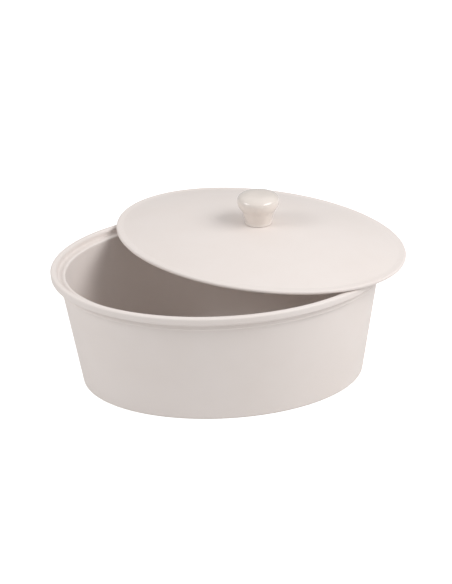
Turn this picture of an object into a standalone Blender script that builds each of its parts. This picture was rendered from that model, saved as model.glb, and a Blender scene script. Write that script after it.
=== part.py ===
"""Covered oval casserole: an oven dish, a domed lid and a knob screwed on from below.

Metres, +Z up.  The origin is the middle of the dish's flat underside, and +X runs along
the dish's long axis.  The lid lies ajar: it has been slid to the back right corner and
turned, so its flat underside rests on the raised lip of the dish at three places.
Every round piece is a profile turned about Z, and the dish and the lid are then pressed
from round to oval, so that their walls keep their thickness all the way round.
"""

from math import cos, hypot, radians, sin

import bmesh
import bpy
from mathutils import Matrix, Vector
from mathutils.bvhtree import BVHTree

# ---- Driving dimensions, in metres ----
MOUTH_HALF_LENGTH = 0.1418
MOUTH_HALF_WIDTH = 0.1016
OVAL = MOUTH_HALF_LENGTH - MOUTH_HALF_WIDTH
GAP = 0.0003

LEDGE_HEIGHT = 0.1092
LIP_HEIGHT = 0.1152
SEAT_BEAD_WIDTH = 0.0040
SEAT_BEAD_HEIGHT = 0.0005
SEAT_BEAD_SLOPE = 0.0020
MOUTH_ROUND = 0.0014
LEDGE_WIDTH = 0.0070
LEDGE_ROUND = 0.0014
LIP_WIDTH = 0.0064
LIP_ROUND = 0.0017
LIP_INNER_ROUND = 0.0026
RIM_OVERHANG = 0.0139
RIM_DRAFT = 0.0005
RIM_LOW = 0.1086
RIM_LOW_ROUND = 0.0016
BEAD_OFFSET = 0.0080
BEAD_SLOPE = 0.0010
BEAD_HIGH = 0.1050
BEAD_LOW = 0.1004
BEAD_ROUND = 0.0009
WALL_TOP_OFFSET = 0.0060
WALL_DRAFT = 0.0161
WALL_THICKNESS = 0.0056
FLOOR_THICKNESS = 0.0072
FLOOR_FILLET = 0.0150
BASE_FILLET = 0.0022
FLOOR_HALF_LENGTH = 0.1080

LID_HALF_LENGTH = 0.1470
LID_EDGE = 0.0036
LID_BAND = 0.0070
LID_SEAT = 0.0095
LID_RISE = 0.0144
LID_WALL = 0.0058
LID_PAD = 0.0185

KNOB_RADIUS = 0.0196
KNOB_HEIGHT = 0.0293
KNOB_CAP_RISE = 0.0070
KNOB_CAP_FULLNESS = 2.7
KNOB_CAP_FALL = 0.0150
KNOB_CAP_CORNER = 31
KNOB_STEM_RADIUS = 0.0156
KNOB_STEM_HEIGHT = 0.0133
KNOB_STEM_SWELL = 1.25
KNOB_NECK_RADIUS = 0.0124
KNOB_NECK_HEIGHT = 0.0020
KNOB_FOOT_RADIUS = 0.0127
INSERT_RADIUS = 0.0038
INSERT_LENGTH = 0.0120
INSERT_INSET = 0.0010
INSERT_ROOM = 0.0020
INSERT_BANDS = 3
INSERT_BAND = 0.0030
INSERT_GROOVE = 0.0005
INSERT_SLOPE = 0.0002
SCREW_RADIUS = 0.0025
SCREW_POINT = 0.0005
SCREW_HEAD_RADIUS = 0.0048
SCREW_HEAD_HEIGHT = 0.0030
SCREW_HEAD_ROUND = 0.0016
SCREW_LENGTH = 0.0200
SOCKET_RADIUS = 0.0017
SOCKET_DEPTH = 0.0016
WASHER_RADIUS = 0.0080
WASHER_THICKNESS = 0.0010
WASHER_EDGE = 0.0002
PAD_WASHER_RADIUS = 0.0085
GASKET_RADIUS = 0.0108
GASKET_THICKNESS = 0.0008
LID_HOLE_RADIUS = 0.0031

# How the lid lies on the dish.
LID_CENTRE = (0.0394, 0.0400)
LID_TURN = radians(-38.5)
LID_FALL = (-0.0144, -0.0195)

OVAL_STEPS = 64
ROUND_STEPS = 32
SMALL_STEPS = 16
MERGE = 0.00001
CREASE_ANGLE = 30
LIP_TOP_BAND = 0.0010
LIP_SAMPLES = 8
DOME_STEPS = 7
HOLE_CUTTER_REACH = (-0.0100, 0.0500)

PARTS_COLLECTION = "covered_casserole"
CUTTERS_COLLECTION = "cutters"


# ---- Scene and materials ----
def clear_scene():
    for obj in list(bpy.data.objects):
        bpy.data.objects.remove(obj, do_unlink=True)


def collection(name):
    found = bpy.data.collections.get(name)
    if found is None:
        found = bpy.data.collections.new(name)
        bpy.context.scene.collection.children.link(found)
    return found


def material(name, colour, roughness, metallic=0.0):
    made = bpy.data.materials.new(name)
    made.use_nodes = True
    shader = made.node_tree.nodes["Principled BSDF"]
    shader.inputs["Base Color"].default_value = (*colour, 1.0)
    shader.inputs["Roughness"].default_value = roughness
    shader.inputs["Metallic"].default_value = metallic
    return made


# ---- Profiles: lists of (distance from the axis, height), top to bottom outside ----
def arc(centre_x, centre_z, radius, start, end, steps):
    """Points on a round corner, from angle start to angle end in degrees."""
    points = []
    for step in range(steps + 1):
        angle = radians(start + (end - start) * step / steps)
        points.append((centre_x + radius * cos(angle), centre_z + radius * sin(angle)))
    return points


def turned(name, profile, steps):
    """A profile turned about Z into one closed mesh object."""
    mesh = bpy.data.meshes.new(name)
    edges = [(index, index + 1) for index in range(len(profile) - 1)]
    mesh.from_pydata([(x, 0.0, z) for x, z in profile], edges, [])
    obj = bpy.data.objects.new(name, mesh)
    bpy.context.scene.collection.objects.link(obj)
    screw = obj.modifiers.new("Turn", "SCREW")
    screw.axis = "Z"
    screw.steps = steps
    screw.render_steps = steps
    screw.use_merge_vertices = True
    screw.merge_threshold = MERGE
    return apply_modifiers(obj)


def apply_modifiers(obj):
    evaluated = obj.evaluated_get(bpy.context.evaluated_depsgraph_get())
    obj_mesh = bpy.data.meshes.new_from_object(evaluated)
    obj_mesh.name = obj.name
    obj.modifiers.clear()
    obj.data = obj_mesh
    return obj


def press_oval(obj, core):
    """Narrow a turned piece across Y by OVAL, keeping wall thickness outside the core."""
    for vertex in obj.data.vertices:
        radius = max(hypot(vertex.co.x, vertex.co.y), core)
        vertex.co.y *= (radius - OVAL) / radius
    return obj


def finish(obj, look, parent=None):
    """Shade smooth, give the material, and move to the parts' collection."""
    obj.data.materials.clear()
    obj.data.materials.append(look)
    obj.data.shade_smooth()
    obj.data.set_sharp_from_angle(angle=radians(CREASE_ANGLE))
    for holder in list(obj.users_collection):
        holder.objects.unlink(obj)
    collection(PARTS_COLLECTION).objects.link(obj)
    obj.parent = parent
    return obj


def cut(obj, cutter):
    """Cut one mesh out of another and keep the cutter as a guide."""
    boolean = obj.modifiers.new("Cut", "BOOLEAN")
    boolean.operation = "DIFFERENCE"
    boolean.solver = "EXACT"
    boolean.object = cutter
    for holder in list(cutter.users_collection):
        holder.objects.unlink(cutter)
    collection(CUTTERS_COLLECTION).objects.link(cutter)
    cutter.hide_render = True
    cutter.display_type = "WIRE"


# ---- The dish ----
def wall_offset(height):
    """How far the outer wall stands outside the mouth at a height."""
    return WALL_TOP_OFFSET - WALL_DRAFT * (1.0 - height / LEDGE_HEIGHT)


def dish_profile():
    """The middle of the floor, up the inside, over the rim and down to the base."""
    mouth = MOUTH_HALF_LENGTH
    outside = mouth + RIM_OVERHANG
    lip_in = outside - LIP_WIDTH
    rim_low = outside - RIM_DRAFT - RIM_LOW_ROUND
    seat = LEDGE_HEIGHT + SEAT_BEAD_HEIGHT
    bead_in = mouth + SEAT_BEAD_WIDTH
    ledge_out = mouth + LEDGE_WIDTH
    floor_edge = mouth + wall_offset(FLOOR_THICKNESS) - WALL_THICKNESS - FLOOR_FILLET
    fillet_height = FLOOR_THICKNESS + FLOOR_FILLET
    bead_out = mouth + BEAD_OFFSET
    wall_top = BEAD_LOW - BEAD_ROUND
    wall_low = mouth + wall_offset(BASE_FILLET)

    points = [(0.0, FLOOR_THICKNESS)]
    points += [(FLOOR_HALF_LENGTH / 2, FLOOR_THICKNESS)]
    points += arc(floor_edge, fillet_height, FLOOR_FILLET, -90, -8, 5)
    points += arc(mouth + MOUTH_ROUND, seat - MOUTH_ROUND, MOUTH_ROUND, 180, 90, 3)
    points += [(bead_in - SEAT_BEAD_SLOPE, seat), (bead_in, LEDGE_HEIGHT)]
    points += [(ledge_out - LEDGE_ROUND, LEDGE_HEIGHT), (ledge_out, LEDGE_HEIGHT + LEDGE_ROUND)]
    points += arc(lip_in + LIP_INNER_ROUND, LIP_HEIGHT - LIP_INNER_ROUND, LIP_INNER_ROUND,
                  170, 90, 3)
    points += arc(outside - LIP_ROUND, LIP_HEIGHT - LIP_ROUND, LIP_ROUND, 90, 0, 3)
    points += arc(rim_low, RIM_LOW + RIM_LOW_ROUND, RIM_LOW_ROUND, 0, -56, 2)
    points += [(bead_out - BEAD_SLOPE, BEAD_HIGH), (bead_out, BEAD_LOW + BEAD_ROUND)]
    points += [(bead_out - BEAD_ROUND, BEAD_LOW)]
    points += [(mouth + wall_offset(wall_top), wall_top)]
    points += arc(wall_low - BASE_FILLET, BASE_FILLET, BASE_FILLET, -8, -90, 4)
    points += [(FLOOR_HALF_LENGTH / 2, 0.0), (0.0, 0.0)]
    return points


def make_dish(look):
    dish = turned("casserole_dish", dish_profile(), OVAL_STEPS)
    press_oval(dish, FLOOR_HALF_LENGTH)
    return finish(dish, look)


# ---- The lid, in its own frame: Z = 0 is the flat band that it seats on ----
def dome(distance, rise, reach):
    """Height of a shallow dome, level over the pad at its middle."""
    share = max(distance, LID_PAD) / reach
    return rise * (1.0 - share * share)


def dome_reach():
    return LID_HALF_LENGTH - LID_BAND


def hollow_reach():
    return LID_HALF_LENGTH - LID_SEAT


def hollow_rise():
    return LID_EDGE + LID_RISE - LID_WALL


def lid_top():
    return LID_EDGE + dome(0.0, LID_RISE, dome_reach())


def lid_underside(distance):
    """Height of the lid's underside at a distance along its long axis."""
    if distance >= hollow_reach():
        return 0.0
    return dome(distance, hollow_rise(), hollow_reach())


def lid_profile():
    steps = DOME_STEPS
    edge = LID_EDGE / 2
    points = [(0.0, lid_top())]
    for step in range(steps):
        distance = LID_PAD + (dome_reach() - LID_PAD) * step / steps
        points.append((distance, LID_EDGE + dome(distance, LID_RISE, dome_reach())))
    points += [(dome_reach(), LID_EDGE)]
    points += arc(LID_HALF_LENGTH - edge, edge, edge, 90, -90, 6)
    for step in range(steps):
        distance = hollow_reach() + (LID_PAD - hollow_reach()) * step / steps
        points.append((distance, lid_underside(distance)))
    points += [(LID_PAD, lid_underside(LID_PAD)), (0.0, lid_underside(0.0))]
    return points


def make_lid(look, dish):
    lid = turned("lid", lid_profile(), OVAL_STEPS)
    press_oval(lid, hollow_reach())
    frame = lid_frame(lid, dish)
    low, high = HOLE_CUTTER_REACH
    hole = turned("lid_hole_cutter", [(0.0, high), (LID_HOLE_RADIUS, high),
                                      (LID_HOLE_RADIUS, low), (0.0, low)], SMALL_STEPS)
    hole.parent = frame
    cut(lid, hole)
    finish(lid, look, frame)
    return frame


def lip_points(dish):
    """Points along the edges of the dish's raised lip."""
    points = []
    for edge in dish.data.edges:
        start, end = (dish.data.vertices[index].co for index in edge.vertices)
        if min(start.z, end.z) > LIP_HEIGHT - LIP_TOP_BAND:
            points += [start.lerp(end, step / LIP_SAMPLES) for step in range(LIP_SAMPLES)]
    return points


def resting_height(lid, turn, dish):
    """Height of the lid's frame that leaves GAP between its underside and the lip."""
    lid_tree = BVHTree.FromPolygons([turn @ vertex.co for vertex in lid.data.vertices],
                                    [face.vertices for face in lid.data.polygons])
    start_height = -0.2
    lowest_gap = 1.0
    for point in lip_points(dish):
        origin = Vector((point.x - LID_CENTRE[0], point.y - LID_CENTRE[1], start_height))
        hit = lid_tree.ray_cast(origin, Vector((0.0, 0.0, 1.0)))[0]
        if hit is not None:
            lowest_gap = min(lowest_gap, hit.z - point.z)
    return GAP - lowest_gap


def lid_frame(lid, dish):
    """An empty at the lid's place, turned and tipped as it lies on the lip."""
    normal = Vector((-LID_FALL[0], -LID_FALL[1], 1.0)).normalized()
    tip = Vector((0.0, 0.0, 1.0)).rotation_difference(normal).to_matrix().to_4x4()
    turn = tip @ Matrix.Rotation(LID_TURN, 4, "Z")
    frame = bpy.data.objects.new("lid_frame", None)
    collection(PARTS_COLLECTION).objects.link(frame)
    place = Matrix.Translation((*LID_CENTRE, resting_height(lid, turn, dish)))
    frame.matrix_world = place @ turn
    return frame


# ---- The knob and its fixing, in the lid's frame ----
def stem_radius(height):
    """The stem widens from its neck to the cap, with a small flare at the foot."""
    if height > KNOB_NECK_HEIGHT:
        share = (height - KNOB_NECK_HEIGHT) / (KNOB_STEM_HEIGHT - KNOB_NECK_HEIGHT)
        swell = KNOB_STEM_RADIUS - KNOB_NECK_RADIUS
        return KNOB_NECK_RADIUS + swell * share ** KNOB_STEM_SWELL
    share = 1.0 - height / KNOB_NECK_HEIGHT
    return KNOB_NECK_RADIUS + (KNOB_FOOT_RADIUS - KNOB_NECK_RADIUS) * share * share


def cap_point(degrees, reach, fullness):
    """A point on the cap's curve: its radius, and its height from the cap's widest part.

    A fullness of 2 gives an ellipse, and a greater one a squarer curve.
    """
    power = 2.0 / fullness
    angle = radians(degrees)
    return KNOB_RADIUS * cos(angle) ** power, reach * sin(angle) ** power


def knob_profile(foot):
    """Top to bottom: the domed cap, the stem, the gasket's recess and the insert's bore."""
    widest = foot + KNOB_HEIGHT - KNOB_CAP_RISE
    points = [(0.0, foot + KNOB_HEIGHT)]
    for degrees in (80, 66, 54, 42, 30, 18, 8, 0):
        radius, above = cap_point(degrees, KNOB_CAP_RISE, KNOB_CAP_FULLNESS)
        points.append((radius, widest + above))
    for share in (0.25, 0.5, 0.75, 1.0):
        radius, below = cap_point(KNOB_CAP_CORNER * share, KNOB_CAP_FALL, 2.0)
        points.append((radius, widest - below))
    for share in (1.0, 0.75, 0.5, 0.28, 0.12, 0.0):
        height = KNOB_STEM_HEIGHT * share
        points.append((stem_radius(height), foot + height))
    recess = GASKET_RADIUS + GAP
    ceiling = foot + GASKET_THICKNESS + GAP
    bore = INSERT_RADIUS + GAP
    bore_top = ceiling + INSERT_INSET + INSERT_LENGTH + INSERT_ROOM
    points += [(recess, foot), (recess, ceiling), (bore, ceiling), (bore, bore_top)]
    points += [(0.0, bore_top + bore / 2)]
    return points


def ring_profile(inner, outer, low, high):
    """A flat ring with its two outer corners broken."""
    return [(inner, high), (outer - WASHER_EDGE, high), (outer, high - WASHER_EDGE),
            (outer, low + WASHER_EDGE), (outer - WASHER_EDGE, low), (inner, low),
            (inner, high)]


def insert_profile(low):
    """A sleeve with a groove between each two of its bands, for the cement."""
    bore = SCREW_RADIUS + GAP
    groove = INSERT_RADIUS - INSERT_GROOVE
    pitch = (INSERT_LENGTH - INSERT_BAND) / (INSERT_BANDS - 1)
    points = [(bore, low + INSERT_LENGTH)]
    for band in range(INSERT_BANDS):
        top = low + INSERT_LENGTH - band * pitch
        points += [(INSERT_RADIUS, top), (INSERT_RADIUS, top - INSERT_BAND)]
        if band < INSERT_BANDS - 1:
            points += [(groove, top - INSERT_BAND - INSERT_SLOPE),
                       (groove, top - pitch + INSERT_SLOPE)]
    points += [(bore, low), (bore, low + INSERT_LENGTH)]
    return points


def screw_profile(bearing):
    """Shank upwards from the bearing face, a domed pan head below it."""
    tip = bearing + SCREW_LENGTH
    low = bearing - SCREW_HEAD_HEIGHT
    points = [(0.0, tip), (SCREW_RADIUS - SCREW_POINT, tip), (SCREW_RADIUS, tip - SCREW_POINT)]
    points += [(SCREW_RADIUS, bearing), (SCREW_HEAD_RADIUS, bearing)]
    points += arc(SCREW_HEAD_RADIUS - SCREW_HEAD_ROUND, low + SCREW_HEAD_ROUND,
                  SCREW_HEAD_ROUND, 0, -90, 3)
    points += [(0.0, low)]
    return points


def socket_cutter(low, parent):
    """A hexagonal bar that cuts the screw's socket."""
    mesh = bpy.data.meshes.new("hex_socket_cutter")
    cage = bmesh.new()
    bmesh.ops.create_cone(cage, cap_ends=True, segments=6, radius1=SOCKET_RADIUS,
                          radius2=SOCKET_RADIUS, depth=2 * SOCKET_DEPTH,
                          matrix=Matrix.Translation((0.0, 0.0, low)))
    cage.to_mesh(mesh)
    cage.free()
    cutter = bpy.data.objects.new("hex_socket_cutter", mesh)
    bpy.context.scene.collection.objects.link(cutter)
    cutter.parent = parent
    return cutter


def make_knob_fixing(looks, parent):
    """Knob, gasket and insert above the lid, then soft pad, washer and screw below it."""
    foot = lid_top() + GAP
    knob = turned("knob", knob_profile(foot), ROUND_STEPS)
    finish(knob, looks["glaze"], parent)

    gasket_high = foot + GASKET_THICKNESS
    gasket = turned("knob_gasket", ring_profile(LID_HOLE_RADIUS, GASKET_RADIUS, foot,
                                                gasket_high), SMALL_STEPS)
    finish(gasket, looks["silicone"], parent)

    insert_low = gasket_high + GAP + INSERT_INSET
    insert = turned("knob_insert", insert_profile(insert_low), SMALL_STEPS)
    finish(insert, looks["brass"], parent)

    pad_high = lid_underside(0.0) - GAP
    pad_low = pad_high - WASHER_THICKNESS
    pad = turned("lid_pad_washer", ring_profile(LID_HOLE_RADIUS, PAD_WASHER_RADIUS, pad_low,
                                                pad_high), SMALL_STEPS)
    finish(pad, looks["silicone"], parent)

    washer_high = pad_low - GAP
    washer_low = washer_high - WASHER_THICKNESS
    washer = turned("steel_washer", ring_profile(LID_HOLE_RADIUS, WASHER_RADIUS, washer_low,
                                                 washer_high), SMALL_STEPS)
    finish(washer, looks["steel"], parent)

    bearing = washer_low - GAP
    screw = turned("knob_screw", screw_profile(bearing), SMALL_STEPS)
    cut(screw, socket_cutter(bearing - SCREW_HEAD_HEIGHT, parent))
    finish(screw, looks["steel"], parent)


def make_all():
    clear_scene()
    looks = {
        "stoneware": material("matt_stoneware", (0.80, 0.77, 0.74), 0.55),
        "glaze": material("clear_glazed_stoneware", (0.80, 0.77, 0.73), 0.15),
        "brass": material("brass", (0.72, 0.53, 0.25), 0.30, 1.0),
        "steel": material("stainless_steel", (0.62, 0.61, 0.59), 0.28, 1.0),
        "silicone": material("white_silicone", (0.72, 0.70, 0.67), 0.60),
    }
    dish = make_dish(looks["stoneware"])
    frame = make_lid(looks["stoneware"], dish)
    make_knob_fixing(looks, frame)


make_all()
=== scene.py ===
from math import ceil, cos, pi, radians, sin, tan

import bpy
import numpy as np
from mathutils import Matrix, Quaternion, Vector


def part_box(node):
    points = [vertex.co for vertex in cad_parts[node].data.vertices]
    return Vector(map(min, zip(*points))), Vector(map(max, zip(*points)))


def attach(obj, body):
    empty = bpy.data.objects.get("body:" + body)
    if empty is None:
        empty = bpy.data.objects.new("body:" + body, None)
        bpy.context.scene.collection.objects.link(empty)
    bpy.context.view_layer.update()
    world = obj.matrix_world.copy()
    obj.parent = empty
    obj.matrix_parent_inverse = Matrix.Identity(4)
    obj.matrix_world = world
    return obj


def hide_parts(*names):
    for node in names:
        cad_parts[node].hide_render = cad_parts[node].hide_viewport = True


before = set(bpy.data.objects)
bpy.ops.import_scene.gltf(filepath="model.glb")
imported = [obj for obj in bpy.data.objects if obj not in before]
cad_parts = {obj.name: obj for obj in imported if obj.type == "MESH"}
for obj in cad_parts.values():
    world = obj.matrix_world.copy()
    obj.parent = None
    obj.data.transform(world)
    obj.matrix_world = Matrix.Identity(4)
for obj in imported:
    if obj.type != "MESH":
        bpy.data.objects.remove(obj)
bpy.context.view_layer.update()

bl_info = {
    "name": "Covered Oval Casserole",
    "version": (1, 0, 0),
    "blender": (4, 5, 0),
    "location": "View3D > Sidebar > Casserole",
    "description": "Models an oval stoneware casserole, its domed lid and glazed knob, and lights them",
    "category": "Add Mesh",
}

# The CAD model's box before any piece is added, and the high corner of its dish.
DISH_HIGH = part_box("casserole_dish")[1]

# Points round each kind of ring, and the turn of one step in a rounded corner.
AROUND_OVAL = 224
AROUND_KNOB = 112
AROUND_FIXING = 72
ARC_STEP = radians(11)
# Distance from a corner to the ring that keeps the flat beside it flat.
SUPPORT = 0.0009
# Middles of flats are filled by rings at these shares of the flat's reach.
FLAT_SHARES = (0.08, 0.3, 0.55, 0.8)

# Rings over the lid's dome and up the knob's stem, and the angles of the cap's rings.
DOME_STEPS = 22
STEM_STEPS = 14
CAP_DEGREES = (0.2, *range(4, 88, 4), 88, 89.6)
CAP_UNDER_DEGREES = range(31, 0, -3)

# The lid's edge and the knob's top stay this far inside their faceted CAD nodes.
LID_INSET = 0.00015
KNOB_INSET = 0.00005
# The most that the knob's height may differ from its CAD node's.
KNOB_TOLERANCE = 0.0005

# Heights between which the dish's bare foot gives way to glaze.
GLAZE_LINE = (0.0006, 0.0016)
# The noise levels between which specks appear in the clay, and the tone they give it.
SPECK_LEVELS = (0.66, 0.74)
SPECK_TONE = (0.62, 0.56, 0.50, 1.0)

# Softboxes: name, direction from the dish, width and height, and the power's setting.
SOFTBOXES = (
    ("softbox_right", (0.67, -0.31, 0.67), (1.30, 0.80), "key"),
    ("softbox_left", (-0.78, -0.17, 0.61), (0.85, 0.60), "fill"),
    ("softbox_top", (0.08, 0.45, 0.88), (2.20, 1.80), "top"),
)
LIGHT_DISTANCE = 1.8
LIGHT_AIM = (0.0, 0.0, 0.08)
FLOOR_SIZE = 14.0
FLOOR_DROP = 0.0003
FLOOR_GREY = 0.46
WHITE = (1.0, 1.0, 1.0, 1.0)
SENSOR_WIDTH = 36.0


# ---- Sizes and colours that a user would change ----
class DishSizes(bpy.types.PropertyGroup):
    mouth_length: bpy.props.FloatProperty(
        name="Mouth length", description="Clear opening along the long axis",
        default=0.2836, unit="LENGTH")
    oval: bpy.props.FloatProperty(
        name="Oval", description="How much less the half width is than the half length",
        default=DISH_HIGH.x - DISH_HIGH.y, unit="LENGTH")
    ledge_drop: bpy.props.FloatProperty(
        name="Ledge drop", description="Depth of the lid's ledge below the lip",
        default=0.0060, unit="LENGTH")
    ledge_width: bpy.props.FloatProperty(
        name="Ledge width", description="From the mouth to the foot of the lip",
        default=0.0070, unit="LENGTH")
    seat_width: bpy.props.FloatProperty(
        name="Seat width", description="Width of the raised seat at the mouth",
        default=0.0038, unit="LENGTH")
    seat_rise: bpy.props.FloatProperty(
        name="Seat rise", description="Height of the seat above the rest of the ledge",
        default=0.0005, unit="LENGTH")
    lip_width: bpy.props.FloatProperty(
        name="Lip width", description="Width of the raised lip",
        default=0.0064, unit="LENGTH")
    lip_depth: bpy.props.FloatProperty(
        name="Lip depth", description="Height of the lip's outer face",
        default=0.0066, unit="LENGTH")
    bead: bpy.props.FloatProperty(
        name="Bead", description="How far the bead below the lip stands outside the mouth",
        default=0.0080, unit="LENGTH")
    bead_drop: bpy.props.FloatProperty(
        name="Bead drop", description="Depth of the bead's lower edge below the lip",
        default=0.0148, unit="LENGTH")
    wall: bpy.props.FloatProperty(
        name="Wall", description="Thickness of the wall",
        default=0.0056, unit="LENGTH")
    floor: bpy.props.FloatProperty(
        name="Floor", description="Thickness of the floor",
        default=0.0072, unit="LENGTH")
    draft: bpy.props.FloatProperty(
        name="Draft", description="How far the wall leans out from base to rim",
        default=0.0161, unit="LENGTH")
    wall_top: bpy.props.FloatProperty(
        name="Wall top", description="How far the outer wall stands outside the mouth",
        default=0.0060, unit="LENGTH")


class LidSizes(bpy.types.PropertyGroup):
    edge: bpy.props.FloatProperty(
        name="Edge", description="Thickness of the rounded edge",
        default=0.0036, unit="LENGTH")
    band: bpy.props.FloatProperty(
        name="Band", description="Width of the flat band round the dome",
        default=0.0070, unit="LENGTH")
    seat: bpy.props.FloatProperty(
        name="Seat", description="Width of the flat band that the lid rests on",
        default=0.0095, unit="LENGTH")
    rise: bpy.props.FloatProperty(
        name="Rise", description="Height of the dome above the band",
        default=0.0144, unit="LENGTH")
    wall: bpy.props.FloatProperty(
        name="Wall", description="Thickness of the dome",
        default=0.0058, unit="LENGTH")
    pad: bpy.props.FloatProperty(
        name="Pad", description="Half length of the level pad under the knob",
        default=0.0185, unit="LENGTH")
    hole: bpy.props.FloatProperty(
        name="Hole", description="Radius of the hole for the knob's screw",
        default=0.0031, unit="LENGTH")


class KnobSizes(bpy.types.PropertyGroup):
    cap: bpy.props.FloatProperty(
        name="Cap radius", description="Radius of the knob's cap",
        default=0.0196, unit="LENGTH")
    height: bpy.props.FloatProperty(
        name="Height", description="Height of the knob above the lid",
        default=0.0293, unit="LENGTH")
    rise: bpy.props.FloatProperty(
        name="Cap rise", description="Height of the dome above the cap's widest part",
        default=0.0070, unit="LENGTH")
    fall: bpy.props.FloatProperty(
        name="Cap fall", description="Depth of the curve that closes the cap below",
        default=0.0150, unit="LENGTH")
    fullness: bpy.props.FloatProperty(
        name="Cap fullness", description="Squareness of the cap's dome; 2 is an ellipse",
        default=2.7)
    stem: bpy.props.FloatProperty(
        name="Stem radius", description="Radius of the stem under the cap",
        default=0.0156, unit="LENGTH")
    stem_height: bpy.props.FloatProperty(
        name="Stem height", description="Height at which the stem meets the cap",
        default=0.0133, unit="LENGTH")
    swell: bpy.props.FloatProperty(
        name="Swell", description="How much of the stem's widening comes near the cap",
        default=1.25)
    neck: bpy.props.FloatProperty(
        name="Neck radius", description="Radius of the stem where it is narrowest",
        default=0.0124, unit="LENGTH")
    neck_height: bpy.props.FloatProperty(
        name="Neck height", description="Height at which the stem is narrowest",
        default=0.0020, unit="LENGTH")
    foot: bpy.props.FloatProperty(
        name="Foot radius", description="Radius of the knob's foot",
        default=0.0127, unit="LENGTH")
    recess: bpy.props.FloatProperty(
        name="Recess radius", description="Radius of the gasket's recess in the foot",
        default=0.0111, unit="LENGTH")
    recess_depth: bpy.props.FloatProperty(
        name="Recess depth", description="Depth of the gasket's recess in the foot",
        default=0.0011, unit="LENGTH")
    bore: bpy.props.FloatProperty(
        name="Bore radius", description="Radius of the bore for the threaded insert",
        default=0.0041, unit="LENGTH")
    bore_depth: bpy.props.FloatProperty(
        name="Bore depth", description="Depth of the bore above the foot",
        default=0.0160, unit="LENGTH")


class FixingSizes(bpy.types.PropertyGroup):
    hole: bpy.props.FloatProperty(
        name="Hole", description="Radius of the hole in the gasket and the washers",
        default=0.0031, unit="LENGTH")
    gasket: bpy.props.FloatProperty(
        name="Gasket radius", description="Radius of the soft ring under the knob",
        default=0.0108, unit="LENGTH")
    soft_washer: bpy.props.FloatProperty(
        name="Soft washer radius", description="Radius of the soft washer under the lid",
        default=0.0085, unit="LENGTH")
    washer: bpy.props.FloatProperty(
        name="Washer radius", description="Radius of the steel washer",
        default=0.0080, unit="LENGTH")
    edge: bpy.props.FloatProperty(
        name="Edge", description="Rounding of the rings' edges",
        default=0.0002, unit="LENGTH")
    shank: bpy.props.FloatProperty(
        name="Shank radius", description="Radius of the screw",
        default=0.0025, unit="LENGTH")
    head: bpy.props.FloatProperty(
        name="Head radius", description="Radius of the screw's head",
        default=0.0048, unit="LENGTH")
    head_height: bpy.props.FloatProperty(
        name="Head height", description="Height of the screw's head",
        default=0.0030, unit="LENGTH")
    socket: bpy.props.FloatProperty(
        name="Socket radius", description="Radius of the hexagon socket, over its corners",
        default=0.0017, unit="LENGTH")
    socket_depth: bpy.props.FloatProperty(
        name="Socket depth", description="Depth of the hexagon socket",
        default=0.0016, unit="LENGTH")


class FinishColours(bpy.types.PropertyGroup):
    clay: bpy.props.FloatVectorProperty(
        name="Stoneware", description="Body colour of the dish and the lid",
        subtype="COLOR", size=3, min=0.0, max=1.0, default=(0.840, 0.772, 0.736))
    shade: bpy.props.FloatVectorProperty(
        name="Stoneware shade", description="Darker tone in the mottling",
        subtype="COLOR", size=3, min=0.0, max=1.0, default=(0.822, 0.750, 0.710))
    bare: bpy.props.FloatVectorProperty(
        name="Bare clay", description="Unglazed clay under the dish",
        subtype="COLOR", size=3, min=0.0, max=1.0, default=(0.560, 0.488, 0.420))
    knob: bpy.props.FloatVectorProperty(
        name="Knob glaze", description="Colour of the glazed knob",
        subtype="COLOR", size=3, min=0.0, max=1.0, default=(0.830, 0.752, 0.690))
    silicone: bpy.props.FloatVectorProperty(
        name="Silicone", description="Colour of the soft rings",
        subtype="COLOR", size=3, min=0.0, max=1.0, default=(0.620, 0.590, 0.555))


class StageSettings(bpy.types.PropertyGroup):
    ambient: bpy.props.FloatProperty(
        name="Ambient", description="Strength of the even light from all round", default=0.42)
    key: bpy.props.FloatProperty(
        name="Key", description="Power of the softbox on the right", default=19.0,
        unit="POWER")
    fill: bpy.props.FloatProperty(
        name="Fill", description="Power of the softbox on the left", default=9.5,
        unit="POWER")
    top: bpy.props.FloatProperty(
        name="Top", description="Power of the softbox above and behind", default=3.5,
        unit="POWER")
    floor_glow: bpy.props.FloatProperty(
        name="Floor glow", description="Light that the white floor casts on the dish",
        default=0.35)
    camera_height: bpy.props.FloatProperty(
        name="Camera height", description="Angle of the view above the table",
        subtype="ANGLE", default=0.470)
    camera_turn: bpy.props.FloatProperty(
        name="Camera turn", description="Angle of the view round the dish",
        subtype="ANGLE", default=-0.049)
    camera_roll: bpy.props.FloatProperty(
        name="Camera roll", description="Tilt of the camera about its own axis",
        subtype="ANGLE", default=-0.035)
    distance: bpy.props.FloatProperty(
        name="Distance", description="Camera to the point that it looks at",
        default=1.8906, unit="LENGTH")
    lens: bpy.props.FloatProperty(
        name="Lens", description="Focal length in millimetres", default=123.3)
    look_at: bpy.props.FloatVectorProperty(
        name="Look at", description="The point in the middle of the view",
        subtype="TRANSLATION", size=3, default=(0.0067, 0.0330, 0.0655))


# ---- Modelling helpers ----
def rounded(corners):
    """A profile through corners (distance, height, radius), each corner rounded by an arc."""
    points = []
    for index, (distance, height, radius) in enumerate(corners):
        corner = Vector((distance, height))
        if radius == 0.0:
            points.append(corner)
            continue
        back = (Vector(corners[index - 1][:2]) - corner).normalized()
        ahead = (Vector(corners[index + 1][:2]) - corner).normalized()
        half = back.angle(ahead) / 2
        centre = corner + (back + ahead).normalized() * radius / sin(half)
        start = corner + back * radius / tan(half) - centre
        end = corner + ahead * radius / tan(half) - centre
        steps = max(2, ceil((pi - 2 * half) / ARC_STEP))
        points += [centre + radius * start.slerp(end, step / steps)
                   for step in range(steps + 1)]
    return [(point.x, point.y) for point in points]


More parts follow.
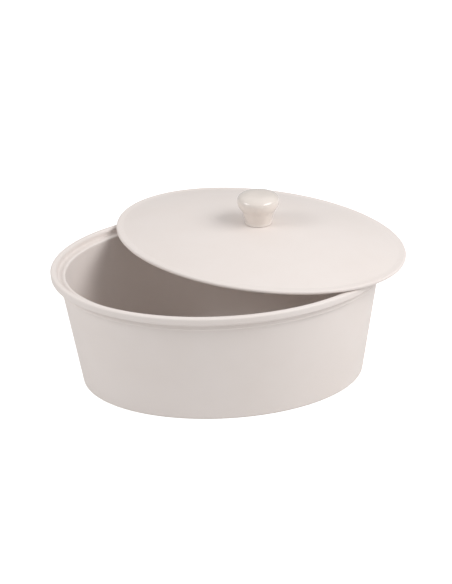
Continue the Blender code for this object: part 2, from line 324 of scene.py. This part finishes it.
def supported(points):
    """Adds a point close to each end of every long straight run, to hold its shading flat."""
    held = [points[0]]
    for start, end in zip(points, points[1:]):
        run = Vector(end) - Vector(start)
        if run.length > 4 * SUPPORT:
            near = Vector(start) + run.normalized() * SUPPORT
            far = Vector(end) - run.normalized() * SUPPORT
            held += [(near.x, near.y), (far.x, far.y)]
        held.append(end)
    return held


def select_open_ring():
    """Selects the edges that have a face on one side only."""
    bpy.ops.mesh.select_all(action="DESELECT")
    bpy.ops.mesh.select_non_manifold(extend=False, use_wire=False, use_multi_face=False,
                                     use_non_contiguous=False, use_verts=False)


def ring_piece(name, rings, around, closed_through=False):
    """Raises a piece from one circle: each ring is extruded from the last and resized.

    rings holds (half length, half width, height), in order along the piece's profile.
    The ends close on the axis, or on each other where a hole runs through the piece.
    """
    bpy.ops.object.select_all(action="DESELECT")
    bpy.ops.mesh.primitive_circle_add(vertices=around, radius=1.0, fill_type="NOTHING")
    piece = bpy.context.object
    piece.name = name
    piece.data.name = name
    bpy.ops.object.mode_set(mode="EDIT")
    bpy.ops.mesh.select_mode(type="EDGE")
    bpy.ops.mesh.select_all(action="SELECT")
    length, width, height = rings[0]
    bpy.ops.transform.resize(value=(length, width, 1.0), center_override=(0, 0, 0))
    bpy.ops.transform.translate(value=(0, 0, height))
    for next_length, next_width, next_height in rings[1:]:
        bpy.ops.mesh.extrude_region_move(
            TRANSFORM_OT_translate={"value": (0, 0, next_height - height)})
        bpy.ops.transform.resize(value=(next_length / length, next_width / width, 1.0),
                                 center_override=(0, 0, next_height))
        length, width, height = next_length, next_width, next_height
    if closed_through:
        select_open_ring()
        bpy.ops.mesh.bridge_edge_loops()
    else:
        bpy.ops.mesh.extrude_region_move()
        bpy.ops.mesh.merge(type="CENTER")
        select_open_ring()
        bpy.ops.mesh.extrude_region_move()
        bpy.ops.mesh.merge(type="CENTER")
    bpy.ops.mesh.select_all(action="SELECT")
    bpy.ops.mesh.normals_make_consistent(inside=False)
    bpy.ops.object.mode_set(mode="OBJECT")
    bpy.ops.object.shade_smooth()
    return piece


def place(piece, matrix):
    """Moves a piece to its place and puts that place in its mesh."""
    bpy.ops.object.select_all(action="DESELECT")
    piece.select_set(True)
    bpy.context.view_layer.objects.active = piece
    piece.matrix_world = matrix
    bpy.ops.object.transform_apply(location=True, rotation=True, scale=True)
    return piece


def node_points(name):
    """A node's points, each once, so that no place counts double."""
    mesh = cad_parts[name].data
    points = np.empty(len(mesh.vertices) * 3)
    mesh.vertices.foreach_get("co", points)
    return np.unique(points.reshape(-1, 3).round(6), axis=0)


def main_axes(points):
    """Directions in which a cloud of points is longest, middling and thinnest."""
    return np.linalg.svd(points - points.mean(axis=0), full_matrices=False)[2]


def lid_frame():
    """The lid's own frame and its half length: Z up through the knob, X along its length."""
    points = node_points("lid")
    along, across, up = main_axes(points)
    up = up * np.sign(up[2])
    along = along * np.sign(along[0])
    turn = np.column_stack((along, np.cross(up, along), up))
    local = points @ turn
    low, high = local.min(axis=0), local.max(axis=0)
    origin = turn @ np.array([*((low + high) / 2)[:2], low[2]])
    matrix = Matrix.Translation(origin) @ Matrix(turn.tolist()).to_4x4()
    return matrix, (high[0] - low[0]) / 2


def height_on_lid(node):
    """Lowest and highest point of a node, measured along the lid's own upright axis."""
    inverse = lid_frame()[0].inverted()
    heights = [(inverse @ Vector(point)).z for point in node_points(node)]
    return min(heights), max(heights)


# ---- Material helpers ----
def new_group(name, inputs, outputs):
    """An empty shader node group with named sockets, and its two end nodes."""
    group = bpy.data.node_groups.new(name, "ShaderNodeTree")
    for label, kind, value in inputs:
        socket = group.interface.new_socket(name=label, in_out="INPUT", socket_type=kind)
        socket.default_value = value
    for label, kind in outputs:
        group.interface.new_socket(name=label, in_out="OUTPUT", socket_type=kind)
    return group, group.nodes.new("NodeGroupInput"), group.nodes.new("NodeGroupOutput")


def add_node(tree, kind, **settings):
    """A node with its properties and, under their names or numbers, its sockets set."""
    node = tree.nodes.new(kind)
    for name, value in settings.pop("sockets", {}).items():
        node.inputs[name].default_value = value
    for name, value in settings.items():
        setattr(node, name, value)
    return node


def mix_colour(tree, blend, factor, first, second):
    """A colour Mix node; each argument is a value or another node's socket."""
    mix = add_node(tree, "ShaderNodeMix", data_type="RGBA", blend_type=blend)
    for socket, given in ((0, factor), (6, first), (7, second)):
        if isinstance(given, bpy.types.NodeSocket):
            tree.links.new(given, mix.inputs[socket])
        else:
            mix.inputs[socket].default_value = given
    return mix.outputs[2]


def mottle_group():
    """Slow drifts of tone and fine specks, as in fired clay under a thin matt glaze."""
    group, start, end = new_group(
        "Fired Mottle",
        (("Tone", "NodeSocketColor", (0.7, 0.7, 0.7, 1)),
         ("Shade", "NodeSocketColor", (0.6, 0.6, 0.6, 1)),
         ("Drift Scale", "NodeSocketFloat", 9.0),
         ("Speck Amount", "NodeSocketFloat", 0.1)),
        (("Colour", "NodeSocketColor"), ("Drift", "NodeSocketFloat")))
    links = group.links
    place_in = add_node(group, "ShaderNodeTexCoord")
    drift = add_node(group, "ShaderNodeTexNoise", sockets={"Detail": 3.0, "Roughness": 0.55})
    links.new(place_in.outputs["Object"], drift.inputs["Vector"])
    links.new(start.outputs["Drift Scale"], drift.inputs["Scale"])
    spread = add_node(group, "ShaderNodeMapRange",
                      sockets={"From Min": 0.35, "From Max": 0.65})
    links.new(drift.outputs[0], spread.inputs["Value"])
    specks = add_node(group, "ShaderNodeTexNoise",
                      sockets={"Scale": 900.0, "Detail": 2.0, "Roughness": 0.6})
    links.new(place_in.outputs["Object"], specks.inputs["Vector"])
    few = add_node(group, "ShaderNodeMapRange",
                   sockets={"From Min": SPECK_LEVELS[0], "From Max": SPECK_LEVELS[1]})
    links.new(specks.outputs[0], few.inputs["Value"])
    amount = add_node(group, "ShaderNodeMath", operation="MULTIPLY")
    links.new(few.outputs[0], amount.inputs[0])
    links.new(start.outputs["Speck Amount"], amount.inputs[1])
    toned = mix_colour(group, "MIX", spread.outputs[0],
                       start.outputs["Tone"], start.outputs["Shade"])
    specked = mix_colour(group, "MULTIPLY", amount.outputs[0], toned,
                         SPECK_TONE)
    links.new(specked, end.inputs["Colour"])
    links.new(spread.outputs[0], end.inputs["Drift"])
    return group


def grain_group():
    """Height of a fine grain over slow waves, for a Bump node."""
    group, start, end = new_group(
        "Surface Grain",
        (("Grain Scale", "NodeSocketFloat", 700.0), ("Wave Scale", "NodeSocketFloat", 18.0),
         ("Wave Share", "NodeSocketFloat", 0.5)),
        (("Height", "NodeSocketFloat"),))
    links = group.links
    place_in = add_node(group, "ShaderNodeTexCoord")
    grain = add_node(group, "ShaderNodeTexNoise", sockets={"Detail": 2.0})
    waves = add_node(group, "ShaderNodeTexNoise", sockets={"Detail": 1.0})
    for noise, scale in ((grain, "Grain Scale"), (waves, "Wave Scale")):
        links.new(place_in.outputs["Object"], noise.inputs["Vector"])
        links.new(start.outputs[scale], noise.inputs["Scale"])
    blend = add_node(group, "ShaderNodeMix", data_type="FLOAT")
    links.new(start.outputs["Wave Share"], blend.inputs[0])
    links.new(grain.outputs[0], blend.inputs[2])
    links.new(waves.outputs[0], blend.inputs[3])
    links.new(blend.outputs[0], end.inputs["Height"])
    return group


def shared_group(name, maker):
    """A node group that is built the first time it is asked for."""
    return bpy.data.node_groups.get(name) or maker()


def group_node(tree, group, sockets):
    """A shared group placed in a material with its own values."""
    node = add_node(tree, "ShaderNodeGroup", node_tree=group)
    for name, value in sockets.items():
        node.inputs[name].default_value = value
    return node


def new_material(name, **sockets):
    """A material, its node tree and its Principled shader with constant sockets set."""
    material = bpy.data.materials.new(name)
    material.use_nodes = True
    shader = material.node_tree.nodes["Principled BSDF"]
    for label, value in sockets.items():
        shader.inputs[label.replace("_", " ")].default_value = value
    return material, material.node_tree, shader


def bump(tree, shader, height, strength, distance):
    """Relief from a height, fed to the shader's normal."""
    relief = add_node(tree, "ShaderNodeBump",
                      sockets={"Strength": strength, "Distance": distance})
    tree.links.new(height, relief.inputs["Height"])
    tree.links.new(relief.outputs["Normal"], shader.inputs["Normal"])


def vary_roughness(tree, shader, mask, low, high):
    """Roughness that drifts with a mask between two values."""
    spread = add_node(tree, "ShaderNodeMapRange", sockets={"To Min": low, "To Max": high})
    tree.links.new(mask, spread.inputs["Value"])
    tree.links.new(spread.outputs[0], shader.inputs["Roughness"])


def stoneware_material(bare_base):
    """Warm white stoneware in a thin matt glaze; the dish's underside is bare clay."""
    colours = bpy.context.scene.casserole_colours
    name = "matt_stoneware_dish" if bare_base else "matt_stoneware_lid"
    material, tree, shader = new_material(name, IOR=1.5, Specular_IOR_Level=0.32)
    mottle = group_node(tree, shared_group("Fired Mottle", mottle_group),
                        {"Tone": (*colours.clay, 1.0), "Shade": (*colours.shade, 1.0),
                         "Drift Scale": 14.0, "Speck Amount": 0.10})
    grain = group_node(tree, shared_group("Surface Grain", grain_group),
                       {"Grain Scale": 850.0, "Wave Scale": 16.0, "Wave Share": 0.72})
    colour = mottle.outputs["Colour"]
    if bare_base:
        place_in = add_node(tree, "ShaderNodeTexCoord")
        split = add_node(tree, "ShaderNodeSeparateXYZ")
        tree.links.new(place_in.outputs["Object"], split.inputs[0])
        glaze_line = add_node(tree, "ShaderNodeMapRange",
                              sockets={"From Min": GLAZE_LINE[0], "From Max": GLAZE_LINE[1],
                                       "To Min": 1.0, "To Max": 0.0})
        tree.links.new(split.outputs["Z"], glaze_line.inputs["Value"])
        colour = mix_colour(tree, "MIX", glaze_line.outputs[0], colour,
                            (*colours.bare, 1.0))
    tree.links.new(colour, shader.inputs["Base Color"])
    vary_roughness(tree, shader, mottle.outputs["Drift"], 0.46, 0.56)
    bump(tree, shader, grain.outputs["Height"], 0.25, 0.0006)
    return material


def knob_material():
    """Clear gloss glaze over the same clay, with the faint unevenness of a dipped glaze."""
    colours = bpy.context.scene.casserole_colours
    material, tree, shader = new_material("glazed_knob", IOR=1.5, Coat_Weight=1.0,
                                          Coat_Roughness=0.14, Coat_IOR=1.5)
    shade = tuple(0.94 * channel for channel in colours.knob)
    mottle = group_node(tree, shared_group("Fired Mottle", mottle_group),
                        {"Tone": (*colours.knob, 1.0), "Shade": (*shade, 1.0),
                         "Drift Scale": 60.0, "Speck Amount": 0.12})
    tree.links.new(mottle.outputs["Colour"], shader.inputs["Base Color"])
    vary_roughness(tree, shader, mottle.outputs["Drift"], 0.30, 0.42)
    grain = group_node(tree, shared_group("Surface Grain", grain_group),
                       {"Grain Scale": 320.0, "Wave Scale": 70.0, "Wave Share": 0.9})
    bump(tree, shader, grain.outputs["Height"], 0.12, 0.0004)
    return material


def metal_material(name, tone, shade, roughness):
    """Turned metal: a soft drift of tone and very fine turning marks."""
    material, tree, shader = new_material(name, Metallic=1.0)
    mottle = group_node(tree, shared_group("Fired Mottle", mottle_group),
                        {"Tone": (*tone, 1.0), "Shade": (*shade, 1.0),
                         "Drift Scale": 220.0, "Speck Amount": 0.0})
    tree.links.new(mottle.outputs["Colour"], shader.inputs["Base Color"])
    vary_roughness(tree, shader, mottle.outputs["Drift"], roughness, roughness + 0.12)
    grain = group_node(tree, shared_group("Surface Grain", grain_group),
                       {"Grain Scale": 2600.0, "Wave Scale": 300.0, "Wave Share": 0.2})
    bump(tree, shader, grain.outputs["Height"], 0.15, 0.0001)
    return material


def silicone_material():
    """Soft matt silicone, for the gasket and the washer that touch the stoneware."""
    colours = bpy.context.scene.casserole_colours
    material, tree, shader = new_material("soft_silicone", Specular_IOR_Level=0.3)
    shade = tuple(0.93 * channel for channel in colours.silicone)
    mottle = group_node(tree, shared_group("Fired Mottle", mottle_group),
                        {"Tone": (*colours.silicone, 1.0), "Shade": (*shade, 1.0),
                         "Drift Scale": 150.0, "Speck Amount": 0.05})
    tree.links.new(mottle.outputs["Colour"], shader.inputs["Base Color"])
    vary_roughness(tree, shader, mottle.outputs["Drift"], 0.5, 0.65)
    return material


def dress(piece, material, body, slot, *nodes):
    """Material, body and the CAD nodes that a piece stands for; the finish slot argument is not used.
    """
    piece.data.materials.clear()
    piece.data.materials.append(material)
    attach(piece, body)
    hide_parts(*nodes)


# ---- The dish ----
def dish_rings(sizes):
    """The dish from the middle of its underside, up the outside and down the inside."""
    half_length = sizes.mouth_length / 2
    top = DISH_HIGH.z
    rim = DISH_HIGH.x - half_length
    ledge = top - sizes.ledge_drop
    seat = ledge + sizes.seat_rise
    lip_in = rim - sizes.lip_width
    lip_low = top - sizes.lip_depth
    cove = lip_low - 0.0036
    bead_low = top - sizes.bead_drop
    wall_high = bead_low - 0.0008
    flat_run = 0.0200
    fillet = 0.0150

    def outer(height):
        """How far outside the mouth the wall's outer face lies at a height."""
        return sizes.wall_top - sizes.draft * (1.0 - height / ledge)

    def inner(height):
        """How far outside the mouth the wall's inner face lies at a height."""
        return outer(height) - sizes.wall

    corners = [
        (outer(0.0) - flat_run, 0.0, 0.0),
        (outer(0.0), 0.0, 0.0022),
        (outer(wall_high), wall_high, 0.0009),
        (sizes.bead, bead_low + 0.0003, 0.0014),
        (sizes.bead - 0.0010, cove, 0.0010),
        (rim - 0.0006, lip_low, 0.0020),
        (rim, top, 0.0019),
        (lip_in, top, 0.0028),
        (sizes.ledge_width, ledge, 0.0022),
        (sizes.seat_width, ledge, 0.0030),
        (sizes.seat_width - 0.0014, seat, 0.0030),
        (0.0, seat, 0.0014),
        (inner(sizes.floor), sizes.floor, fillet),
        (inner(sizes.floor) - fillet - 0.0090, sizes.floor, 0.0),
    ]
    half_width = half_length - sizes.oval
    rings = [(half_length + offset, half_width + offset, height)
             for offset, height in supported(rounded(corners))]
    base, floor = rings[0], rings[-1]
    under = [(base[0] * share, base[1] * share, 0.0) for share in FLAT_SHARES]
    inside = [(floor[0] * share, floor[1] * share, sizes.floor) for share in FLAT_SHARES]
    return under + rings + inside[::-1]


class CASSEROLE_OT_dish(bpy.types.Operator):
    """Models the oval dish with its lipped rim and lid ledge"""
    bl_idname = "casserole.dish"
    bl_label = "Dish"

    def execute(self, context):
        rings = dish_rings(context.scene.casserole_dish)
        dish = ring_piece("oval_dish", rings, AROUND_OVAL)
        dress(dish, stoneware_material(True), "dish_body", "stoneware", "casserole_dish")
        return {"FINISHED"}


# ---- The lid ----
def lid_rings(sizes, half_length, oval):
    """The lid from its screw hole out over the dome, round the edge and back beneath."""
    top_reach = half_length - sizes.band
    under_reach = half_length - sizes.seat
    under_rise = sizes.edge + sizes.rise - sizes.wall
    pad_ring = (0.0118, 0.0112)
    turn = 0.0040
    rounding = sizes.edge / 2 * 0.98

    def dome(distance, rise, reach):
        """Height of a parabola that falls from rise to nothing at its reach, level on the pad."""
        share = max(distance, sizes.pad) / reach
        return rise * (1.0 - share * share)

    def oval_ring(distance, height, reach):
        """A ring that is a scaled oval inside the reach and keeps an even band outside it."""
        if distance < reach:
            return distance, distance * (reach - oval) / reach, height
        return distance, distance - oval, height

    pad_top = sizes.edge + dome(0.0, sizes.rise, top_reach)
    pad_under = dome(0.0, under_rise, under_reach)
    rings = [(sizes.hole, sizes.hole, pad_top), (*pad_ring, pad_top)]
    dome_end = top_reach - 0.0015
    for step in range(DOME_STEPS):
        distance = sizes.pad + (dome_end - sizes.pad) * step / DOME_STEPS
        height = sizes.edge + dome(distance, sizes.rise, top_reach)
        rings.append(oval_ring(distance, height, top_reach))
    dome_foot = sizes.edge + dome(top_reach - turn, sizes.rise, top_reach)
    hollow_start = under_reach - turn
    corners = [
        (top_reach - turn, dome_foot, 0.0),
        (top_reach, sizes.edge, 0.0060),
        (half_length, sizes.edge, rounding),
        (half_length, 0.0, rounding),
        (under_reach, 0.0, 0.0040),
        (hollow_start, dome(hollow_start, under_rise, under_reach), 0.0),
    ]
    rings += [oval_ring(distance, height, top_reach)
              for distance, height in supported(rounded(corners))]
    for step in range(1, DOME_STEPS + 1):
        distance = hollow_start + (sizes.pad - hollow_start) * step / DOME_STEPS
        height = dome(distance, under_rise, under_reach)
        rings.append(oval_ring(distance, height, under_reach))
    rings += [(*pad_ring, pad_under), (sizes.hole, sizes.hole, pad_under)]
    return rings


class CASSEROLE_OT_lid(bpy.types.Operator):
    """Models the shallow domed lid, lying ajar"""
    bl_idname = "casserole.lid"
    bl_label = "Lid"

    def execute(self, context):
        matrix, half_length = lid_frame()
        rings = lid_rings(context.scene.casserole_lid, half_length - LID_INSET,
                          context.scene.casserole_dish.oval)
        lid = place(ring_piece("domed_lid", rings, AROUND_OVAL, closed_through=True), matrix)
        dress(lid, stoneware_material(False), "lid_body", "stoneware", "lid")
        return {"FINISHED"}


# ---- The knob ----
def knob_rings(sizes, foot):
    """The knob from its bore, out under the foot, up the stem and over the domed cap."""
    widest = foot + sizes.height - sizes.rise - KNOB_INSET
    bore_top = foot + sizes.bore_depth
    recess_top = foot + sizes.recess_depth
    stem_start = 0.0009
    power = 2.0 / sizes.fullness
    corners = [
        (0.0010, bore_top, 0.0),
        (sizes.bore, bore_top, 0.0008),
        (sizes.bore, recess_top, 0.0004),
        (sizes.recess, recess_top, 0.0003),
        (sizes.recess, foot, 0.0002),
        (sizes.foot, foot, 0.0004),
        (sizes.foot - 0.0001, foot + 0.0008, 0.0),
    ]
    points = rounded(corners)
    for step in range(STEM_STEPS):
        height = stem_start + (sizes.stem_height - stem_start) * step / STEM_STEPS
        if height < sizes.neck_height:
            share = 1.0 - height / sizes.neck_height
            radius = sizes.neck + (sizes.foot - sizes.neck) * share * share
        else:
            share = (height - sizes.neck_height) / (sizes.stem_height - sizes.neck_height)
            radius = sizes.neck + (sizes.stem - sizes.neck) * share ** sizes.swell
        points.append((radius, foot + height))
    for degree in CAP_UNDER_DEGREES:
        angle = radians(degree)
        points.append((sizes.cap * cos(angle), widest - sizes.fall * sin(angle)))
    for degree in CAP_DEGREES:
        angle = radians(degree)
        points.append((sizes.cap * cos(angle) ** power,
                       widest + sizes.rise * sin(angle) ** power))
    return [(radius, radius, height) for radius, height in points]


class CASSEROLE_OT_knob(bpy.types.Operator):
    """Models the glazed knob"""
    bl_idname = "casserole.knob"
    bl_label = "Knob"

    def execute(self, context):
        foot, top = height_on_lid("knob")
        sizes = context.scene.casserole_knob
        if abs(top - foot - sizes.height) > KNOB_TOLERANCE:
            raise RuntimeError("the knob is not as tall as its CAD node")
        rings = knob_rings(sizes, foot)
        knob = place(ring_piece("mushroom_knob", rings, AROUND_KNOB), lid_frame()[0])
        dress(knob, knob_material(), "lid_body", "knob_glaze", "knob")
        return {"FINISHED"}


# ---- Gasket, washers, screw and insert ----
def flat_ring(name, node, radius, sizes):
    """A washer: a flat ring with eased edges, placed where its CAD node lies."""
    low, high = height_on_lid(node)
    bore, edge = sizes.hole, sizes.edge
    corners = [
        (bore + 0.0004, low, 0.0),
        (radius, low, edge),
        (radius, high, edge),
        (bore, high, edge),
        (bore, low, edge / 2),
        (bore + 0.0003, low, 0.0),
    ]
    rings = [(distance, distance, height) for distance, height in rounded(corners)]
    return place(ring_piece(name, rings, AROUND_FIXING, closed_through=True), lid_frame()[0])


class CASSEROLE_OT_rings(bpy.types.Operator):
    """Models the gasket under the knob and the two washers under the lid"""
    bl_idname = "casserole.rings"
    bl_label = "Gasket and washers"

    def execute(self, context):
        sizes = context.scene.casserole_fixing
        soft = silicone_material()
        gasket = flat_ring("foot_gasket", "knob_gasket", sizes.gasket, sizes)
        dress(gasket, soft, "lid_body", "silicone", "knob_gasket")
        pad = flat_ring("soft_washer", "lid_pad_washer", sizes.soft_washer, sizes)
        dress(pad, soft, "lid_body", "silicone", "lid_pad_washer")
        steel = metal_material("turned_steel", (0.60, 0.59, 0.57), (0.52, 0.51, 0.49), 0.22)
        washer = flat_ring("plain_washer", "steel_washer", sizes.washer, sizes)
        dress(washer, steel, "lid_body", "steel", "steel_washer")
        return {"FINISHED"}


class CASSEROLE_OT_screw(bpy.types.Operator):
    """Models the pan-head screw that holds the knob, and finishes its threaded insert"""
    bl_idname = "casserole.screw"
    bl_label = "Screw and insert"

    def execute(self, context):
        sizes = context.scene.casserole_fixing
        low, tip = height_on_lid("knob_screw")
        bearing = low + sizes.head_height
        middle = 0.0006
        corners = [
            (middle, low, 0.0),
            (sizes.head, low, 0.0016),
            (sizes.head, bearing, 0.0003),
            (sizes.shank, bearing, 0.0002),
            (sizes.shank, tip, 0.0006),
            (middle, tip, 0.0),
        ]
        rings = [(distance, distance, height) for distance, height in rounded(corners)]
        screw = ring_piece("pan_screw", rings, AROUND_FIXING)
        bpy.ops.object.select_all(action="DESELECT")
        bpy.ops.mesh.primitive_cylinder_add(vertices=6, radius=sizes.socket,
                                            depth=2 * sizes.socket_depth,
                                            location=(0, 0, low))
        socket = bpy.context.object
        bpy.ops.object.select_all(action="DESELECT")
        screw.select_set(True)
        context.view_layer.objects.active = screw
        cut = screw.modifiers.new("Socket", "BOOLEAN")
        cut.object = socket
        cut.operation = "DIFFERENCE"
        bpy.ops.object.modifier_apply(modifier=cut.name)
        bpy.data.objects.remove(socket)
        bpy.ops.object.shade_smooth_by_angle(angle=radians(35))
        place(screw, lid_frame()[0])
        steel = metal_material("stainless_screw", (0.62, 0.61, 0.59), (0.54, 0.53, 0.51), 0.2)
        dress(screw, steel, "lid_body", "steel", "knob_screw")
        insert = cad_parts["knob_insert"]
        brass = metal_material("turned_brass", (0.74, 0.55, 0.26), (0.66, 0.47, 0.21), 0.28)
        insert.data.materials.clear()
        insert.data.materials.append(brass)
        return {"FINISHED"}


# ---- Floor, light and camera ----
def soft_light(name, direction, size, power):
    """A softbox that faces the dish from a direction."""
    away = Vector(direction) * LIGHT_DISTANCE
    bpy.ops.object.light_add(type="AREA", location=Vector(LIGHT_AIM) + away)
    lamp = bpy.context.object
    lamp.name = name
    lamp.data.shape = "RECTANGLE"
    lamp.data.size, lamp.data.size_y = size
    lamp.data.energy = power
    lamp.rotation_euler = Vector(direction).to_track_quat("Z", "Y").to_euler()


def white_when_seen(tree, brightness):
    """White where the camera looks straight at it, and a dimmer white for what it lights."""
    path = add_node(tree, "ShaderNodeLightPath")
    cast = (brightness, brightness, brightness, 1.0)
    return mix_colour(tree, "MIX", path.outputs["Is Camera Ray"], cast, WHITE)


def add_floor(settings):
    """A plain white floor, just below the dish's base."""
    bpy.ops.object.select_all(action="DESELECT")
    bpy.ops.mesh.primitive_plane_add(size=FLOOR_SIZE, location=(0, 0, -FLOOR_DROP))
    floor = bpy.context.object
    floor.name = "pale_floor"
    material, tree, shader = new_material("lit_white_floor", Roughness=0.9,
                                          Specular_IOR_Level=0.1, Emission_Strength=1.0)
    shader.inputs["Base Color"].default_value = (FLOOR_GREY, FLOOR_GREY, FLOOR_GREY, 1.0)
    tree.links.new(white_when_seen(tree, settings.floor_glow), shader.inputs["Emission Color"])
    floor.data.materials.append(material)


def add_world(settings):
    """Even light from all round."""
    world = bpy.data.worlds.new("studio")
    bpy.context.scene.world = world
    world.use_nodes = True
    tree = world.node_tree
    background = tree.nodes["Background"]
    tree.links.new(white_when_seen(tree, settings.ambient), background.inputs["Color"])
    background.inputs["Strength"].default_value = 1.0


def add_camera(settings):
    """A camera that looks at the dish from its settings' angle and distance."""
    data = bpy.data.cameras.new("camera")
    camera = bpy.data.objects.new("camera", data)
    bpy.context.scene.collection.objects.link(camera)
    turn, rise = settings.camera_turn, settings.camera_height
    back = Vector((sin(turn) * cos(rise), -cos(turn) * cos(rise), sin(rise)))
    camera.location = Vector(settings.look_at) + back * settings.distance
    level = (-back).to_track_quat("-Z", "Y")
    camera.rotation_mode = "QUATERNION"
    camera.rotation_quaternion = level @ Quaternion((0, 0, 1), settings.camera_roll)
    data.sensor_width = SENSOR_WIDTH
    data.lens = settings.lens
    bpy.context.scene.camera = camera


class CASSEROLE_OT_stage(bpy.types.Operator):
    """Adds a plain pale floor, soft studio light and the camera"""
    bl_idname = "casserole.stage"
    bl_label = "Stage"

    def execute(self, context):
        settings = context.scene.casserole_stage
        add_floor(settings)
        add_world(settings)
        for name, direction, size, power in SOFTBOXES:
            soft_light(name, direction, size, getattr(settings, power))
        add_camera(settings)
        context.scene.view_settings.view_transform = "Standard"
        return {"FINISHED"}


# ---- Sidebar panel, registration and main ----
class CASSEROLE_PT_panel(bpy.types.Panel):
    """Lists the casserole's pieces"""
    bl_label = "Covered Casserole"
    bl_idname = "CASSEROLE_PT_panel"
    bl_space_type = "VIEW_3D"
    bl_region_type = "UI"
    bl_category = "Casserole"

    def draw(self, context):
        for operator in OPERATORS:
            self.layout.operator(operator.bl_idname)
        for holder in GROUPS:
            values = getattr(context.scene, holder)
            box = self.layout.box()
            for name in values.bl_rna.properties.keys():
                if name not in {"rna_type", "name"}:
                    box.prop(values, name)


OPERATORS = (CASSEROLE_OT_dish, CASSEROLE_OT_lid, CASSEROLE_OT_knob, CASSEROLE_OT_rings,
             CASSEROLE_OT_screw, CASSEROLE_OT_stage)
GROUPS = {
    "casserole_dish": DishSizes,
    "casserole_lid": LidSizes,
    "casserole_knob": KnobSizes,
    "casserole_fixing": FixingSizes,
    "casserole_colours": FinishColours,
    "casserole_stage": StageSettings,
}


def register():
    for group in GROUPS.values():
        bpy.utils.register_class(group)
    for operator in OPERATORS:
        bpy.utils.register_class(operator)
    bpy.utils.register_class(CASSEROLE_PT_panel)
    for name, group in GROUPS.items():
        setattr(bpy.types.Scene, name, bpy.props.PointerProperty(type=group))


def unregister():
    for name in GROUPS:
        delattr(bpy.types.Scene, name)
    bpy.utils.unregister_class(CASSEROLE_PT_panel)
    for operator in reversed(OPERATORS):
        bpy.utils.unregister_class(operator)
    for group in reversed(GROUPS.values()):
        bpy.utils.unregister_class(group)


def main():
    register()
    bpy.ops.casserole.dish()
    bpy.ops.casserole.lid()
    bpy.ops.casserole.knob()
    bpy.ops.casserole.rings()
    bpy.ops.casserole.screw()
    bpy.ops.casserole.stage()


if __name__ == "__main__":
    main()
